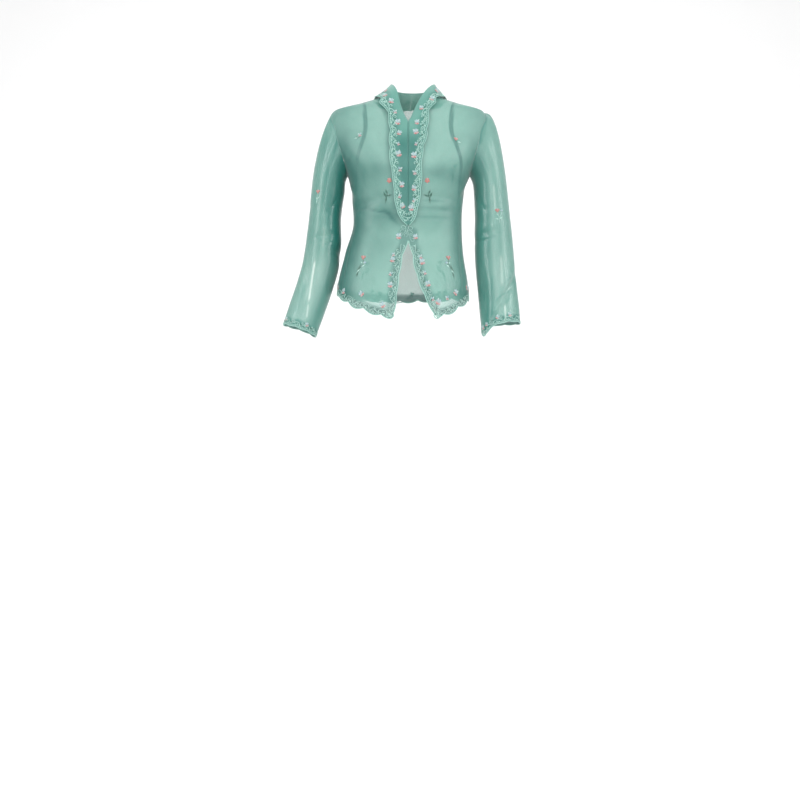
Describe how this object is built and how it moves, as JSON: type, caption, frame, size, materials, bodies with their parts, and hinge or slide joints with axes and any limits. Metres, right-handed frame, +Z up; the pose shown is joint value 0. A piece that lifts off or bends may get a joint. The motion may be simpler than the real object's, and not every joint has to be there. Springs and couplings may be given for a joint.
{
  "type": "kebaya blouse",
  "caption": "Hollow worn kebaya blouse with long sleeves, princess-seamed fronts, turned scalloped collar bands and a scalloped hem that parts below the waist.",
  "frame": {"origin": "midway between the points where the shoulder seams meet the neck, which the wearer's shoulders carry", "axes": "+Z up along the wearer, -Y the front, +X the wearer's left"},
  "size_m": [0.597, 0.233, 0.6422],
  "materials": {
    "body_voile": "sheer mint organza with a soft sheen",
    "sleeve_voile": "sheer mint organza with a soft sheen",
    "collar_voile": "two layers of sheer teal organza, embroidered"
  },
  "bodies": {
    "root": {"back": "body_voile", "front_centre_right": "body_voile", "front_centre_left": "body_voile", "front_side_right": "body_voile", "front_side_left": "body_voile", "sleeve_right": "sleeve_voile", "sleeve_left": "sleeve_voile", "collar_right": "collar_voile", "collar_left": "collar_voile"}
  },
  "joints": []
}
